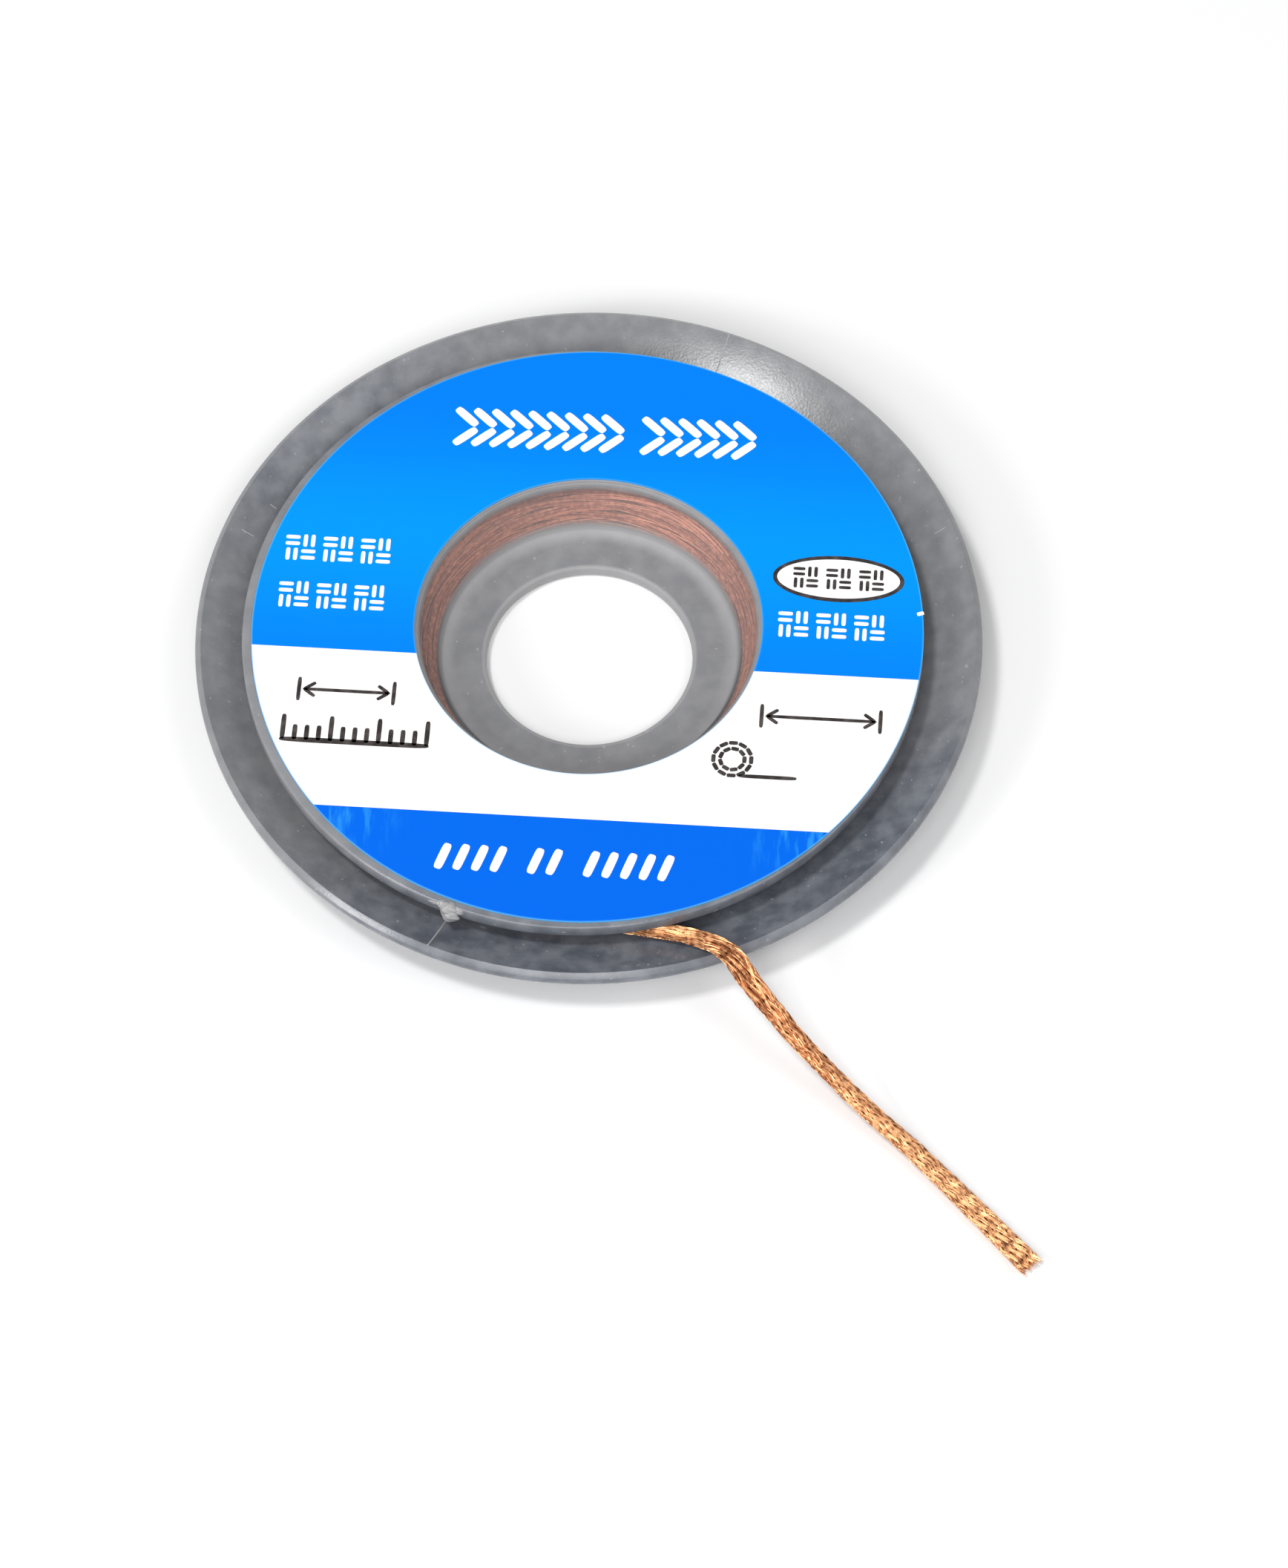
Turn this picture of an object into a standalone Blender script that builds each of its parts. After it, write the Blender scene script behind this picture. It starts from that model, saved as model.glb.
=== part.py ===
"""Desoldering braid on its reel: a moulded two-flange spool, its label, the wound
copper braid and the loose tail. Metres, +Z up, origin at the middle of the underside."""

import math

import bmesh
import bpy
from mathutils import Vector

MM = 0.001

# Braid
BRAID_WIDTH = 2.0 * MM
BRAID_LENGTH = 1500.0 * MM
BRAID_TURN_PITCH = 0.42 * MM
TURN_GROOVE_DEPTH = 0.08 * MM
TAIL_DIAMETER = 0.8 * MM
TAIL_POINT_STEP = 1.8 * MM

# Spool plates
FRONT_FLANGE_RADIUS = 24.1 * MM
FRONT_FLANGE_THICKNESS = 1.1 * MM
BACK_FLANGE_RADIUS = 27.5 * MM
BACK_PLATE_THICKNESS = 1.2 * MM
BACK_FLAT_RADIUS = 16.5 * MM
RIM_TOP_HEIGHT = 4.0 * MM
RIM_THICKNESS = 1.05 * MM
RIM_CHAMFER_WIDTH = 0.4 * MM
RIM_CHAMFER_HEIGHT = 0.35 * MM
FLANGE_EDGE_RADIUS = 0.25 * MM

# Hub
HUB_MOUTH_RADIUS = 12.0 * MM
HUB_FOOT_RADIUS = 10.4 * MM
HUB_FLOOR_RADIUS = 9.45 * MM
HUB_FLOOR_THICKNESS = 1.0 * MM
HUB_FILLET_HEIGHT = 0.45 * MM
HUB_WALL = 1.05 * MM
HUB_HOLE_RADIUS = 7.25 * MM
HOLE_EDGE_RADIUS = 0.2 * MM
MOUTH_EDGE_RADIUS = 0.15 * MM

# Label
LABEL_OUTER_RADIUS = 23.5 * MM
LABEL_MOUTH_MARGIN = 0.2 * MM
LABEL_THICKNESS = 0.1 * MM

# Clearances
CHANNEL_PLAY = 0.35 * MM
WINDING_HUB_GAP = 0.3 * MM
LABEL_GAP = 0.05 * MM

# Facets
SPOOL_STEPS = 64
WINDING_STEPS = 40
DISH_SEGMENTS = 6
EDGE_SEGMENTS = 2

# Heights that follow from the sizes above
CHANNEL_FLOOR = BACK_PLATE_THICKNESS
CHANNEL_ROOF = CHANNEL_FLOOR + BRAID_WIDTH + 2.0 * CHANNEL_PLAY
SPOOL_HEIGHT = CHANNEL_ROOF + FRONT_FLANGE_THICKNESS

# The loose braid's route: out of the channel, across the dish, over the rim and down
TAIL_ROUTE = [
    (-12.6, -15.6, 2.40),
    (-8.0, -19.1, 2.55),
    (-3.0, -21.9, 2.85),
    (0.6, -23.2, 3.10),
    (3.8, -24.0, 3.28),
    (5.6, -24.4, 3.65),
    (7.4, -25.1, 4.15),
    (9.0, -26.2, 4.55),
    (10.1, -27.7, 4.40),
    (11.2, -29.1, 3.85),
    (13.4, -31.7, 2.75),
    (15.8, -34.2, 1.85),
    (18.3, -36.7, 1.10),
    (20.9, -39.2, 0.65),
    (24.6, -43.4, 0.46),
    (28.6, -48.2, 0.46),
]


def clear_scene():
    """Remove every object of the open file."""
    for obj in list(bpy.data.objects):
        bpy.data.objects.remove(obj, do_unlink=True)


def make_collection(name):
    """Return a new collection linked to the scene."""
    collection = bpy.data.collections.new(name)
    bpy.context.scene.collection.children.link(collection)
    return collection


def make_material(name, colour, roughness, metallic, transmission=0.0):
    """Return a Principled material with the given look."""
    material = bpy.data.materials.new(name)
    material.use_nodes = True
    shader = material.node_tree.nodes["Principled BSDF"]
    shader.inputs["Base Color"].default_value = (*colour, 1.0)
    shader.inputs["Roughness"].default_value = roughness
    shader.inputs["Metallic"].default_value = metallic
    shader.inputs["Transmission Weight"].default_value = transmission
    return material


def arc(centre_r, centre_z, radius, start, end, segments):
    """Return points of an arc in the profile plane, angles in degrees from +r."""
    points = []
    for i in range(segments + 1):
        angle = math.radians(start + (end - start) * i / segments)
        points.append((centre_r + radius * math.cos(angle), centre_z + radius * math.sin(angle)))
    return points


def dish_radius():
    """Return the radius of the arc that lifts the back flange to its rim."""
    run = BACK_FLANGE_RADIUS - RIM_CHAMFER_WIDTH - BACK_FLAT_RADIUS
    rise = RIM_TOP_HEIGHT - CHANNEL_FLOOR
    return (run * run + rise * rise) / (2.0 * rise)


def dish_height(radius):
    """Return the height of the back flange's inner face at a radius."""
    run = max(0.0, radius - BACK_FLAT_RADIUS)
    bend = dish_radius()
    return CHANNEL_FLOOR + bend - math.sqrt(bend * bend - run * run)


def hub_inner_radius(height):
    """Return the radius of the cup's tapered wall at a height."""
    foot = HUB_FLOOR_THICKNESS + HUB_FILLET_HEIGHT
    share = (height - foot) / (SPOOL_HEIGHT - foot)
    return HUB_FOOT_RADIUS + share * (HUB_MOUTH_RADIUS - HUB_FOOT_RADIUS)


def hub_outer_radius(height):
    """Return the radius that the braid is wound on at a height."""
    return hub_inner_radius(height) + HUB_WALL


def front_flange_profile():
    """Return the front flange from the mouth's edge round to the channel's roof."""
    lip = MOUTH_EDGE_RADIUS
    edge = FLANGE_EDGE_RADIUS
    rim_r = FRONT_FLANGE_RADIUS - edge
    points = arc(HUB_MOUTH_RADIUS + lip, SPOOL_HEIGHT - lip, lip, 180.0, 90.0, EDGE_SEGMENTS)
    points += arc(rim_r, SPOOL_HEIGHT - edge, edge, 90.0, 0.0, EDGE_SEGMENTS)
    points += arc(rim_r, CHANNEL_ROOF + edge, edge, 0.0, -90.0, EDGE_SEGMENTS)
    points.append((hub_outer_radius(CHANNEL_ROOF), CHANNEL_ROOF))
    return points


def back_flange_profile():
    """Return the dished back flange from the channel's floor to the hole's lower edge."""
    points = [(hub_outer_radius(CHANNEL_FLOOR), CHANNEL_FLOOR)]
    chamfer_r = BACK_FLANGE_RADIUS - RIM_CHAMFER_WIDTH
    run = chamfer_r - BACK_FLAT_RADIUS
    for i in range(DISH_SEGMENTS + 1):
        radius = BACK_FLAT_RADIUS + run * i / DISH_SEGMENTS
        points.append((radius, dish_height(radius)))
    rim_bottom = RIM_TOP_HEIGHT - RIM_THICKNESS
    points.append((BACK_FLANGE_RADIUS, RIM_TOP_HEIGHT - RIM_CHAMFER_HEIGHT))
    points.append((BACK_FLANGE_RADIUS, rim_bottom))
    under_run = BACK_FLANGE_RADIUS - BACK_FLAT_RADIUS
    under_bend = (under_run * under_run + rim_bottom * rim_bottom) / (2.0 * rim_bottom)
    for i in range(DISH_SEGMENTS - 1, -1, -1):
        step = under_run * i / DISH_SEGMENTS
        height = under_bend - math.sqrt(under_bend * under_bend - step * step)
        points.append((BACK_FLAT_RADIUS + step, height))
    return points


def hub_profile():
    """Return the hole's wall, the cup's floor and the fillet up to the tapered wall."""
    edge = HOLE_EDGE_RADIUS
    hole_r = HUB_HOLE_RADIUS + edge
    points = arc(hole_r, edge, edge, -90.0, -180.0, EDGE_SEGMENTS)
    points += arc(hole_r, HUB_FLOOR_THICKNESS - edge, edge, 180.0, 90.0, EDGE_SEGMENTS)
    points.append((HUB_FLOOR_RADIUS, HUB_FLOOR_THICKNESS))
    reach = HUB_FOOT_RADIUS - HUB_FLOOR_RADIUS
    for i in range(1, EDGE_SEGMENTS + 1):
        angle = math.radians(90.0 * i / EDGE_SEGMENTS)
        radius = HUB_FLOOR_RADIUS + reach * math.sin(angle)
        height = HUB_FLOOR_THICKNESS + HUB_FILLET_HEIGHT * (1.0 - math.cos(angle))
        points.append((radius, height))
    return points


def winding_outer_radius():
    """Return the wound braid's outer radius, from its length and its turns' pitch."""
    middle = 0.5 * (CHANNEL_FLOOR + CHANNEL_ROOF)
    inner = hub_outer_radius(middle) + WINDING_HUB_GAP
    wound = BRAID_LENGTH - tail_length()
    return math.sqrt(inner * inner + wound * BRAID_TURN_PITCH / math.pi)


def winding_profile():
    """Return the wound braid's section, with a groove between turns on both ends."""
    top = CHANNEL_ROOF - CHANNEL_PLAY
    outer = winding_outer_radius()
    inner_top = hub_outer_radius(top) + WINDING_HUB_GAP
    inner_bottom = hub_outer_radius(CHANNEL_FLOOR + CHANNEL_PLAY) + WINDING_HUB_GAP
    turns_top = round((outer - inner_top) / BRAID_TURN_PITCH)
    turns_bottom = round((outer - inner_bottom) / BRAID_TURN_PITCH)
    points = []
    for i in range(turns_top):
        left = inner_top + (outer - inner_top) * i / turns_top
        middle = left + 0.5 * (outer - inner_top) / turns_top
        points.append((left, top - (TURN_GROOVE_DEPTH if i else 0.0)))
        points.append((middle, top))
    points.append((outer, top - TURN_GROOVE_DEPTH))
    points.append((outer, dish_height(outer) + CHANNEL_PLAY + TURN_GROOVE_DEPTH))
    for i in range(turns_bottom - 1, -1, -1):
        left = inner_bottom + (outer - inner_bottom) * i / turns_bottom
        middle = left + 0.5 * (outer - inner_bottom) / turns_bottom
        points.append((middle, dish_height(middle) + CHANNEL_PLAY))
        points.append((left, dish_height(left) + CHANNEL_PLAY + (TURN_GROOVE_DEPTH if i else 0.0)))
    return points


def turned_object(name, profile, steps, material, collection):
    """Return a solid of revolution about Z from a closed profile of (radius, height)."""
    mesh = bpy.data.meshes.new(name)
    form = bmesh.new()
    verts = [form.verts.new((radius, 0.0, height)) for radius, height in profile]
    for i, vert in enumerate(verts):
        form.edges.new((vert, verts[(i + 1) % len(verts)]))
    form.to_mesh(mesh)
    form.free()
    obj = bpy.data.objects.new(name, mesh)
    collection.objects.link(obj)
    screw = obj.modifiers.new("turn", "SCREW")
    screw.axis = "Z"
    screw.angle = math.tau
    screw.steps = steps
    screw.render_steps = steps
    screw.use_merge_vertices = True
    screw.merge_threshold = 0.00001
    screw.use_smooth_shade = True
    mesh.materials.append(material)
    return obj


def smooth_route(knots, step):
    """Return evenly spaced points on a Catmull-Rom curve through the knots."""
    knots = [Vector(knot) * MM for knot in knots]
    ends = [2.0 * knots[0] - knots[1]] + knots + [2.0 * knots[-1] - knots[-2]]
    fine = []
    for i in range(1, len(ends) - 2):
        before, start, end, after = ends[i - 1 : i + 3]
        for j in range(16):
            t = j / 16.0
            fine.append(
                0.5
                * (
                    2.0 * start
                    + (end - before) * t
                    + (2.0 * before - 5.0 * start + 4.0 * end - after) * t * t
                    + (3.0 * start - before - 3.0 * end + after) * t * t * t
                )
            )
    fine.append(knots[-1])
    return evenly_spaced(fine, step)


def evenly_spaced(points, step):
    """Return points at equal distances along a fine polyline, ends included."""
    lengths = [0.0]
    for start, end in zip(points, points[1:]):
        lengths.append(lengths[-1] + (end - start).length)
    count = max(2, round(lengths[-1] / step))
    spaced = []
    index = 0
    for i in range(count + 1):
        target = lengths[-1] * i / count
        while index < len(points) - 2 and lengths[index + 1] < target:
            index += 1
        share = (target - lengths[index]) / (lengths[index + 1] - lengths[index])
        spaced.append(points[index].lerp(points[index + 1], share))
    return spaced


def tail_length():
    """Return the length of the loose braid along its route."""
    points = smooth_route(TAIL_ROUTE, TAIL_POINT_STEP)
    return sum((end - start).length for start, end in zip(points, points[1:]))


def make_spool(collection):
    """Build the reel as one moulded piece: front flange, hub cup and dished back flange."""
    plastic = make_material("smoky_plastic", (0.20, 0.21, 0.23), 0.45, 0.0, 0.35)
    profile = front_flange_profile() + back_flange_profile() + hub_profile()
    return turned_object("spool", profile, SPOOL_STEPS, plastic, collection)


def make_label(collection):
    """Build the paper label as a thin ring on the front flange."""
    paper = make_material("blue_label", (0.0, 0.22, 0.85), 0.4, 0.0)
    bottom = SPOOL_HEIGHT + LABEL_GAP
    top = bottom + LABEL_THICKNESS
    inner = HUB_MOUTH_RADIUS + LABEL_MOUTH_MARGIN
    profile = [(inner, top), (LABEL_OUTER_RADIUS, top), (LABEL_OUTER_RADIUS, bottom), (inner, bottom)]
    return turned_object("label", profile, SPOOL_STEPS, paper, collection)


def make_winding(collection):
    """Build the wound braid as one turned solid with its bore."""
    copper = make_material("wound_copper", (0.72, 0.38, 0.20), 0.4, 0.9)
    return turned_object("winding", winding_profile(), WINDING_STEPS, copper, collection)


def make_tail(collection):
    """Build the loose braid as a round tube that holds as much copper as the flat braid."""
    copper = make_material("tail_copper", (0.80, 0.44, 0.22), 0.35, 0.9)
    curve = bpy.data.curves.new("braid_tail", "CURVE")
    curve.dimensions = "3D"
    curve.bevel_depth = 0.5 * TAIL_DIAMETER
    curve.bevel_resolution = 2
    curve.use_fill_caps = True
    points = smooth_route(TAIL_ROUTE, TAIL_POINT_STEP)
    spline = curve.splines.new("POLY")
    spline.points.add(len(points) - 1)
    for slot, point in zip(spline.points, points):
        slot.co = (*point, 1.0)
    spline.use_smooth = True
    obj = bpy.data.objects.new("braid_tail", curve)
    collection.objects.link(obj)
    curve.materials.append(copper)
    return obj


def main():
    """Build the object's four pieces."""
    clear_scene()
    collection = make_collection("desoldering_braid")
    make_spool(collection)
    make_label(collection)
    make_winding(collection)
    make_tail(collection)


main()
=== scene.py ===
"""Desoldering braid on its reel: smoky plastic spool, blue and white label, copper braid."""

import logging
import math
from abc import ABC, abstractmethod
from dataclasses import dataclass, field
from enum import Enum
from typing import ClassVar, Sequence

import bpy
import numpy as np
from mathutils import Matrix, Vector


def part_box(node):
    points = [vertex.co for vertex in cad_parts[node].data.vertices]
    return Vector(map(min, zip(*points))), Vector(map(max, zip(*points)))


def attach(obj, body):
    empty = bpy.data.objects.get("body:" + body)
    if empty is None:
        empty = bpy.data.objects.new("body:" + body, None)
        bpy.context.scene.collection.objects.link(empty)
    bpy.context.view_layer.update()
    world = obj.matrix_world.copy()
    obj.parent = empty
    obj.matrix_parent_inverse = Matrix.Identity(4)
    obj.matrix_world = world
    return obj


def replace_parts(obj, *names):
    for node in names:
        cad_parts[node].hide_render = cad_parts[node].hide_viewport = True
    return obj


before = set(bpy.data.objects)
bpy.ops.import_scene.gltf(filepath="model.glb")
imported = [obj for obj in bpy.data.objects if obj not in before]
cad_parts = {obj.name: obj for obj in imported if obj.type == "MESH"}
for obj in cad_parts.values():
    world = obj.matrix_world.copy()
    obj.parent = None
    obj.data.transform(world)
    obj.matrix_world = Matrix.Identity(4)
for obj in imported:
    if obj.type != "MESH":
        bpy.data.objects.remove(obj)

LOG = logging.getLogger("desoldering_braid")
MM = 0.001
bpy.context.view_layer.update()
SHARP_EDGE = math.radians(40.0)

Array = np.ndarray


class Slot(Enum):
    """The record's material slots."""

    PLASTIC = "spool_plastic"
    LABEL = "label_print"
    WOUND = "wound_copper"
    TAIL = "tail_copper"


# Node graphs


class Graph:
    """A material's node tree, filled by short calls."""

    def __init__(self, name: str) -> None:
        """Start an empty tree with its output.

        Args:
            name: The material's name.
        """
        self.material = bpy.data.materials.new(name)
        self.material.use_nodes = True
        self.tree = self.material.node_tree
        self.tree.nodes.clear()
        self.output = self.tree.nodes.new("ShaderNodeOutputMaterial")

    def node(self, kind: str, settings: dict | None = None, **inputs: object) -> bpy.types.Node:
        """Add a node.

        Args:
            kind: The node's type after "ShaderNode".
            settings: Properties of the node itself.
            inputs: Values or sockets for its inputs, with _ for a space in the name.

        Returns:
            The new node.
        """
        made = self.tree.nodes.new("ShaderNode" + kind)
        for key, value in (settings or {}).items():
            setattr(made, key, value)
        for key, value in inputs.items():
            self.feed(made.inputs[key.replace("_", " ")], value)
        return made

    def feed(self, socket: bpy.types.NodeSocket, value: object) -> None:
        """Link a socket to an input, or set the input's own value.

        Args:
            socket: The input.
            value: Another node's output, or a plain value.
        """
        if isinstance(value, bpy.types.NodeSocket):
            self.tree.links.new(value, socket)
        else:
            socket.default_value = value

    def math(self, operation: str, first: object, second: object = 0.0) -> bpy.types.NodeSocket:
        """Add a math node.

        Args:
            operation: The node's operation.
            first: Its first value or socket.
            second: Its second value or socket.

        Returns:
            Its result.
        """
        made = self.tree.nodes.new("ShaderNodeMath")
        made.operation = operation
        self.feed(made.inputs[0], first)
        self.feed(made.inputs[1], second)
        return made.outputs[0]

    def span(self, value: object, low: float, high: float) -> bpy.types.NodeSocket:
        """Add a smooth step from 0 at low to 1 at high.

        Args:
            value: The value or socket that is stepped.
            low: Where the result is 0.
            high: Where it is 1, which may lie below low.

        Returns:
            The step's result.
        """
        made = self.node("MapRange", {"interpolation_type": "SMOOTHSTEP"})
        self.feed(made.inputs["Value"], value)
        made.inputs["From Min"].default_value = low
        made.inputs["From Max"].default_value = high
        return made.outputs["Result"]

    def mix(self, factor: object, first: object, second: object) -> bpy.types.NodeSocket:
        """Mix two colours.

        Args:
            factor: Share of the second colour.
            first: The colour at a factor of 0.
            second: The colour at a factor of 1.

        Returns:
            The mixed colour.
        """
        made = self.node("Mix", {"data_type": "RGBA"})
        self.feed(made.inputs[0], factor)
        self.feed(made.inputs[6], first)
        self.feed(made.inputs[7], second)
        return made.outputs[2]

    def place(self, scale: Sequence[float] = (1.0, 1.0, 1.0), turn: float = 0.0) -> bpy.types.NodeSocket:
        """Add Object coordinates, stretched and turned about Z.

        Args:
            scale: Stretch along each axis.
            turn: Angle about Z in radians.

        Returns:
            The coordinates.
        """
        where = self.node("TexCoord").outputs["Object"]
        mapping = self.node("Mapping", Vector=where)
        mapping.inputs["Scale"].default_value = scale
        mapping.inputs["Rotation"].default_value = (0.0, 0.0, turn)
        return mapping.outputs["Vector"]

    def linear(self, value: object, slope: float, start: float = 0.0) -> bpy.types.NodeSocket:
        """Return start plus slope times a value."""
        return self.math("ADD", self.math("MULTIPLY", value, slope), start)

    def noise(self, where: object, scale: float, detail: float = 3.0) -> bpy.types.NodeSocket:
        """Return a noise value about features of 1/scale metres."""
        return self.node("TexNoise", Vector=where, Scale=scale, Detail=detail).outputs[0]

    def attribute(self, name: str) -> bpy.types.NodeSocket:
        """Return a mesh attribute's value."""
        return self.node("Attribute", {"attribute_name": name}).outputs["Fac"]

    def bump(self, height: object, depth: float, strength: float = 1.0) -> bpy.types.NodeSocket:
        """Return a normal bent by a height, whose full range stands for a depth in metres."""
        return self.node("Bump", Height=height, Distance=depth, Strength=strength).outputs["Normal"]

    def close(self, shader: bpy.types.Node) -> bpy.types.Material:
        """Link the shader to the output and return the material."""
        self.tree.links.new(shader.outputs[0], self.output.inputs["Surface"])
        return self.material


def rgba(red: float, green: float, blue: float) -> tuple[float, float, float, float]:
    """Return a full colour from three linear values."""
    return (red, green, blue, 1.0)


class Finish(ABC):
    """A finish that is made into one material, however many pieces share it."""

    made: ClassVar[dict["Finish", bpy.types.Material]] = {}

    @abstractmethod
    def build(self) -> bpy.types.Material:
        """Return a new material with this finish."""

    def material(self) -> bpy.types.Material:
        """Build the material when it is first asked for.

        Returns:
            The finish's one material.
        """
        if self not in self.made:
            self.made[self] = self.build()
        return self.made[self]


@dataclass(frozen=True)
class SmokyPlastic(Finish):
    """Frosted smoky plastic that lets some light through.

    The mesh attribute "clear" says how far each place is seen through, and "matt" where the
    mould left it dull. "Pale" paints light: it lightens the plastic where thin edges gather
    light and where rounded edges and the cup's foot lie in shade; on the fine ridges and
    scratches it is their own whitish colour. The colour is painted darker, as painted shade,
    towards the side where the braid leaves and in a patch at the far left, and the mottling
    is stronger there.
    """

    name: str = "smoky_plastic"
    light: tuple[float, ...] = rgba(0.262, 0.265, 0.277)
    dark: tuple[float, ...] = rgba(0.2, 0.205, 0.22)
    painted_shade_light: tuple[float, ...] = rgba(0.2, 0.215, 0.245)
    painted_shade_dark: tuple[float, ...] = rgba(0.1, 0.112, 0.138)
    edge: tuple[float, ...] = rgba(0.42, 0.415, 0.42)
    speck: tuple[float, ...] = rgba(0.42, 0.43, 0.45)
    cloud_scale: float = 700.0
    cloud_range: tuple[float, float] = (0.25, 0.75)
    speck_range: tuple[float, float] = (0.71, 0.8)
    speck_share: float = 0.6
    grain_scale: float = 5200.0
    grain_depth: float = 0.012 * MM
    roughness: float = 0.18
    grain_share: float = 0.12
    matt_share: float = 0.3
    shade_from: float = -9.0 * MM
    shade_to: float = -21.0 * MM
    front_above: float = 4.1 * MM
    shade_turn: float = math.radians(-13.0)
    front_unshaded: float = 0.05
    shade_patch: tuple[float, float, float] = (-18.0 * MM, 17.0 * MM, 3.0 * MM)
    shade_patch_reach: tuple[float, float] = (15.0 * MM, 4.0 * MM)
    shade_patch_share: float = 0.7

    def build(self) -> bpy.types.Material:
        """Build the plastic's material.

        Returns:
            The material.
        """
        graph = Graph(self.name)
        where = graph.place()
        cloud = graph.span(graph.noise(where, self.cloud_scale, 6.0), *self.cloud_range)
        grain = graph.noise(where, self.grain_scale, 2.0)
        specks = graph.span(graph.noise(where, 0.5 * self.grain_scale, 1.0), *self.speck_range)
        # Painted shade: the colour is darker towards the near side where the braid leaves and in a patch
        # at the far left, with stronger mottling there.
        unshaded = self._unshaded_share(graph, where)
        dark = graph.mix(unshaded, self.painted_shade_dark, self.dark)
        light = graph.mix(unshaded, self.painted_shade_light, self.light)
        body = graph.mix(cloud, dark, light)
        body = graph.mix(graph.linear(specks, self.speck_share), body, self.speck)
        # Painted light: "pale" mixes in the lighter edge colour where thin edges gather light and where
        # rounded edges and the cup's foot lie in shade.
        colour = graph.mix(graph.attribute("pale"), body, self.edge)
        matt = graph.linear(graph.attribute("matt"), self.matt_share)
        rough = graph.math("ADD", graph.linear(grain, self.grain_share, self.roughness), matt)
        shader = graph.node(
            "BsdfPrincipled",
            Base_Color=colour,
            Roughness=rough,
            IOR=1.5,
            Alpha=graph.linear(graph.attribute("clear"), -1.0, 1.0),
            Normal=graph.bump(grain, self.grain_depth, 0.6),
        )
        return graph.close(shader)

    def _unshaded_share(self, graph: Graph, where: object) -> bpy.types.NodeSocket:
        """Return how far each place is free of the painted shade.

        The share falls from 1 to 0 toward the side where the braid leaves, and it is less in
        the patch at the far left. Where it is low, the colour is painted darker as painted shade.
        The front flange's top keeps a small even share.

        Args:
            graph: The material's nodes.
            where: Object coordinates.

        Returns:
            The unshaded share, from 0 to 1.
        """
        axes = graph.node("SeparateXYZ", Vector=graph.place(turn=self.shade_turn))
        away = graph.node("VectorMath", {"operation": "DISTANCE"})
        graph.feed(away.inputs[0], where)
        graph.feed(away.inputs[1], self.shade_patch)
        shade_patch = graph.span(away.outputs["Value"], *self.shade_patch_reach)
        side = graph.span(axes.outputs[1], self.shade_to, self.shade_from)
        back = graph.math("MULTIPLY", graph.linear(shade_patch, -self.shade_patch_share, 1.0), side)
        on_front = graph.math("GREATER_THAN", axes.outputs[2], self.front_above)
        return graph.math("MAXIMUM", back, graph.linear(on_front, self.front_unshaded))


@dataclass(frozen=True)
class PrintedPaper(Finish):
    """The label's print: blue fields above and below a white band, with worn spots.

    The upper blue carries a painted reflection: it is lighter about one height.
    """

    name: str = "printed_paper"
    turn: float = math.radians(5.2)
    band_top: float = -3.12 * MM
    band_bottom: float = -15.7 * MM
    reflection_height: float = 6.5 * MM
    reflection_reach: float = 12.0 * MM
    scuff_across: tuple[float, float] = (10.5 * MM, 15.0 * MM)
    scuff_up: tuple[float, float] = (-20.0 * MM, -16.5 * MM)
    scuff_share: float = 0.5
    streak_scale: tuple[float, float, float] = (1500.0, 260.0, 1.0)
    roughness: float = 0.38
    sheen_share: float = 0.14
    gloss: float = 0.07
    fibre_depth: float = 0.006 * MM
    deep_blue: tuple[float, ...] = rgba(0.0, 0.205, 0.86)
    reflection_blue: tuple[float, ...] = rgba(0.0, 0.29, 0.88)
    lower_blue: tuple[float, ...] = rgba(0.0, 0.135, 0.77)
    scuff: tuple[float, ...] = rgba(0.04, 0.4, 0.85)
    white: tuple[float, ...] = rgba(0.93, 0.93, 0.93)
    cut_edge: tuple[float, ...] = rgba(0.1, 0.45, 0.85)

    def build(self) -> bpy.types.Material:
        """Build the label's material.

        Returns:
            The material.
        """
        graph = Graph(self.name)
        where = graph.place(turn=self.turn)
        axes = graph.node("SeparateXYZ", Vector=where)
        across = axes.outputs[0]
        up = axes.outputs[1]
        # Painted reflection: the upper blue is lighter near one height and fades to the deep blue.
        away = graph.math("ABSOLUTE", graph.math("SUBTRACT", up, self.reflection_height))
        upper = graph.mix(graph.span(away, 0.0, self.reflection_reach), self.reflection_blue, self.deep_blue)
        lower = graph.mix(self._worn(graph, across, up), self.lower_blue, self.scuff)
        colour = graph.mix(graph.math("LESS_THAN", up, self.band_bottom), self.white, lower)
        colour = graph.mix(graph.math("GREATER_THAN", up, self.band_top), colour, upper)
        colour = graph.mix(graph.attribute("rim"), colour, self.cut_edge)
        shader = graph.node(
            "BsdfPrincipled",
            Base_Color=colour,
            Roughness=graph.linear(graph.noise(where, 900.0), self.sheen_share, self.roughness),
            Specular_IOR_Level=self.gloss,
            Normal=graph.bump(graph.noise(where, 1500.0, 2.0), self.fibre_depth, 0.3),
        )
        return graph.close(shader)

    def _worn(self, graph: Graph, across: object, up: object) -> bpy.types.NodeSocket:
        """Return where the lower blue field is scuffed: upright streaks at both of its ends.

        Args:
            graph: The material's nodes.
            across: Distance to the right of the label's middle.
            up: Distance above it.

        Returns:
            The share of the scuffed colour.
        """
        side = graph.span(graph.math("ABSOLUTE", across), *self.scuff_across)
        streaks = graph.noise(graph.place(self.streak_scale, self.turn), 1.0, 5.0)
        worn = graph.math("MULTIPLY", side, graph.span(streaks, 0.48, 0.66))
        near_band = graph.span(up, *self.scuff_up)
        return graph.linear(graph.math("MULTIPLY", worn, near_band), self.scuff_share)


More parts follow.
